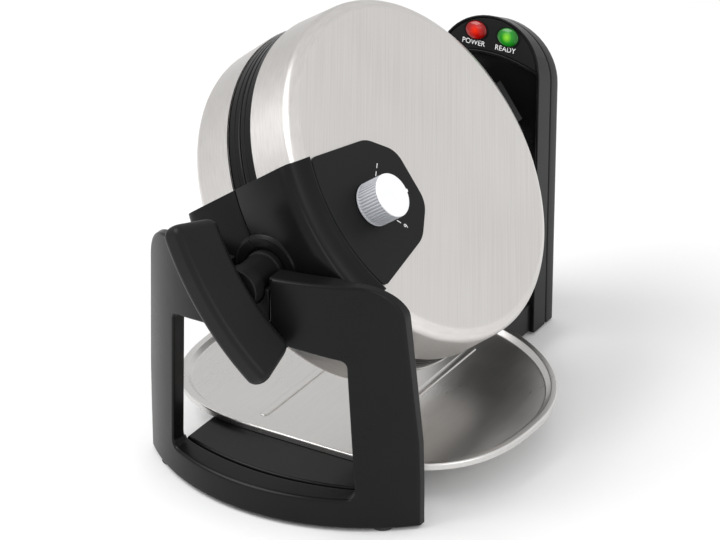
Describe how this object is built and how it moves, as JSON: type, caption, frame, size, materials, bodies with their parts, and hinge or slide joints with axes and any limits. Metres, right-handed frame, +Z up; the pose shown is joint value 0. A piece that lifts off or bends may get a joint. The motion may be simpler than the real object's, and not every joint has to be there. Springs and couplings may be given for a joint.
{
  "type": "waffle maker",
  "caption": "Rotary waffle maker: a round steel cooking disc, hinged in two halves and held tilted, turns in a curved black front stand and a rear column over an oval drip tray.",
  "frame": {"origin": "on the table, under the middle of the whole thing's box", "axes": "+Z up, -Y the front, where the handle and the curved stand are, +Y the column with the lamps, +X to the right seen from the front"},
  "size_m": [0.247, 0.376, 0.2801],
  "materials": {
    "steel_cover": "fine radial brushing, satin",
    "tray_steel": "pressed sheet, satin",
    "black_plastic": "moulded, half gloss",
    "soft_black": "moulded, satin",
    "panel_grey": "fine grained, matt",
    "cast_plate": "dark non-stick coating on a casting",
    "bright_steel": "plain bright steel",
    "knob_silver": "silver lacquer on a ribbed moulding",
    "brass": "turned",
    "board_green": "circuit board lacquer",
    "ceramic": "unglazed",
    "red_lens": "lit, translucent",
    "green_lens": "lit, translucent",
    "rubber": "matt"
  },
  "bodies": {
    "base": {"base_frame": "black_plastic", "front_stand": "black_plastic", "bearing_saddle": "soft_black", "rear_column": "black_plastic", "back_cover": "black_plastic", "rear_bush": "brass", "indicator_panel": "panel_grey", "indicator_board": "board_green", "power_lens": "red_lens", "ready_lens": "green_lens", "terminal_block": "ceramic", "cord_inlet": "rubber", "foot_front_left": "rubber", "foot_front_right": "rubber", "foot_rear_left": "rubber", "foot_rear_right": "rubber"},
    "lower_half": {"lower_cover": "steel_cover", "lower_bezel": "black_plastic", "lower_nose": "black_plastic", "lower_grid_plate": "cast_plate", "lower_heater": "bright_steel", "lower_reflector": "bright_steel", "front_shaft": "soft_black", "handle": "soft_black", "hinge_bracket": "black_plastic", "hinge_pin": "bright_steel", "rear_shaft": "bright_steel", "shaft_clip": "bright_steel"},
    "lid": {"lid_cover": "steel_cover", "lid_bezel": "black_plastic", "lid_nose": "black_plastic", "lid_grid_plate": "cast_plate", "lid_heater": "bright_steel", "lid_reflector": "bright_steel", "lid_arm": "black_plastic", "control_panel": "panel_grey", "thermostat": "ceramic"},
    "knob": {"browning_knob": "knob_silver", "knob_spindle": "brass"},
    "thermostat_contact": {"thermostat_pin": "ceramic"},
    "tray": {"drip_tray": "tray_steel"}
  },
  "joints": [
    {"name": "flip", "type": "hinge", "parent": "base", "child": "lower_half", "pos_m": [0, 0.007, 0.162], "axis": [0, -1, 0], "range_deg": [-125.6, 54.4]},
    {"name": "lid_hinge", "type": "hinge", "parent": "lower_half", "child": "lid", "pos_m": [0.01829, 0.1295, 0.1751], "axis": [-0.5821, 0, 0.8131], "range_deg": [0, 90]},
    {"name": "browning_knob_turn", "type": "hinge", "parent": "lid", "child": "knob", "pos_m": [0.03862, -0.0595, 0.18965], "axis": [0.8131, 0, 0.5821], "range_deg": [-50, 50]},
    {"name": "drip_tray_slide", "type": "slide", "parent": "base", "child": "tray", "axis": [1, 0, 0], "range_m": [0, 0.2]},
    {"name": "thermostat_pin_travel", "type": "slide", "parent": "lid", "child": "thermostat_contact", "axis": [0.8131, 0, 0.5821], "range_m": [0, 0.001]}
  ]
}
